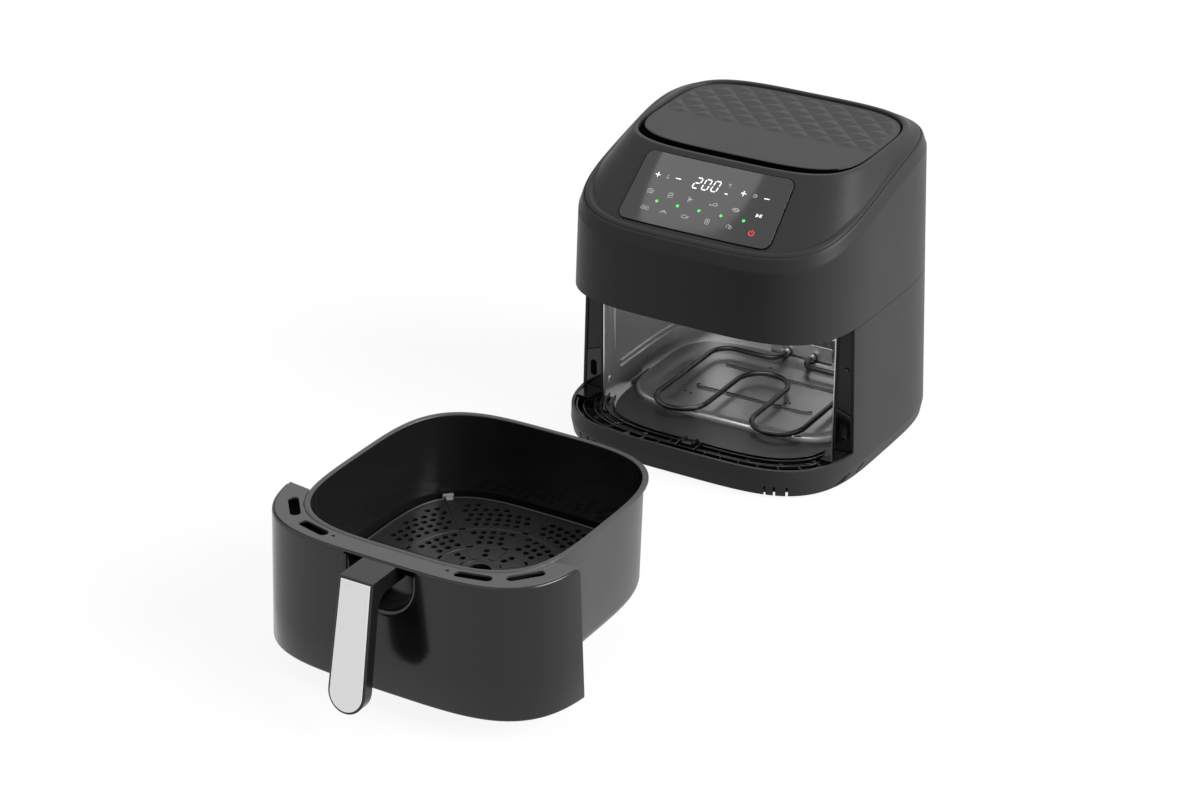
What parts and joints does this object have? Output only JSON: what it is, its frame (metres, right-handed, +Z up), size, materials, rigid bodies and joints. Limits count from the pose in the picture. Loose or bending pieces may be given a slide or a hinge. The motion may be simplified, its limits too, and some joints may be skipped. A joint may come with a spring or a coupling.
{
  "type": "air fryer",
  "caption": "Countertop air fryer with a pull-out pan drawer, perforated crisper plate, upper and lower heating elements and a sloping touch panel.",
  "frame": {"origin": "on the floor under the middle of the whole object, with the drawer fully out", "axes": "+Z up from the feet, -Y towards the front, the way the drawer comes out, +X to the right of a person behind the appliance's front panel looking along +Y"},
  "size_m": [0.3254, 0.902, 0.323],
  "materials": {
    "housing_plastic": "satin black moulded plastic",
    "lid_plastic": "fine-textured black moulded plastic",
    "inner_plastic": "matt black moulded plastic",
    "gloss_black": "polished black plastic",
    "display": "smoked glossy touch panel",
    "circuit_board": "green laminate",
    "bare_steel": "bright stainless sheet",
    "element_sheath": "oxidised steel sheath",
    "motor_steel": "painted steel can",
    "fastener": "zinc plated",
    "rubber_foot": "soft matt rubber",
    "bumper_silicone": "grey silicone",
    "non_stick": "non-stick coated sheet, glossy inside",
    "panel_plastic": "satin-gloss black moulded plastic",
    "inlay_metal": "brushed silver plate",
    "switch_red": "moulded"
  },
  "bodies": {
    "housing": {"lower_housing": "housing_plastic", "upper_housing": "housing_plastic", "control_shroud": "housing_plastic", "top_lid": "lid_plastic", "lid_frame": "inner_plastic", "display_glass": "display", "control_board": "circuit_board", "board_carrier": "inner_plastic", "base_plate": "inner_plastic", "foot_front_left": "rubber_foot", "foot_front_right": "rubber_foot", "foot_rear_left": "rubber_foot", "foot_rear_right": "rubber_foot", "base_screw_front_left": "fastener", "base_screw_front_right": "fastener", "base_screw_rear_left": "fastener", "base_screw_rear_right": "fastener", "cavity_liner": "bare_steel", "cavity_floor": "bare_steel", "cavity_roof": "bare_steel", "reflector_tray": "bare_steel", "lower_heating_element": "element_sheath", "element_bracket": "bare_steel", "upper_heating_element": "element_sheath", "element_guard": "bare_steel", "fan_motor": "motor_steel", "motor_bracket": "bare_steel", "power_board": "circuit_board", "front_bezel": "gloss_black", "left_pillar_cover": "housing_plastic", "right_pillar_cover": "housing_plastic", "drawer_catch": "inner_plastic", "rear_exhaust_grille": "inner_plastic", "rear_spacer": "inner_plastic", "cord_inlet": "housing_plastic", "door_switch": "inner_plastic"},
    "fan_rotor": {"fan_shaft": "bare_steel", "hot_air_fan": "bare_steel", "cooling_fan": "inner_plastic", "fan_nut": "fastener"},
    "plunger": {"switch_plunger": "switch_red"},
    "drawer": {"pan": "non_stick", "front_panel": "panel_plastic", "panel_trim": "panel_plastic", "handle_grip": "panel_plastic", "handle_inlay": "inlay_metal", "handle_shield": "gloss_black", "handle_screw_left": "fastener", "handle_screw_right": "fastener", "pan_bracket_left": "bare_steel", "pan_bracket_right": "bare_steel"},
    "crisper": {"crisper_plate": "non_stick", "plate_bumper_1": "bumper_silicone", "plate_bumper_2": "bumper_silicone", "plate_bumper_3": "bumper_silicone", "plate_bumper_4": "bumper_silicone"}
  },
  "joints": [
    {"name": "drawer_slide", "type": "slide", "parent": "housing", "child": "drawer", "axis": [0, 0.9997, 0.0238], "range_m": [0, 0.52415]},
    {"name": "crisper_lift", "type": "slide", "parent": "drawer", "child": "crisper", "axis": [0, 0, 1], "range_m": [0, 0.09]},
    {"name": "fan_spin", "type": "hinge", "parent": "housing", "child": "fan_rotor", "pos_m": [0, 0.28696, 0.2], "axis": [0, 0, 1], "continuous": true},
    {"name": "door_switch_press", "type": "slide", "parent": "housing", "child": "plunger", "axis": [0, 1, 0], "range_m": [0, 0.003], "stiffness_N_per_m": 150}
  ]
}
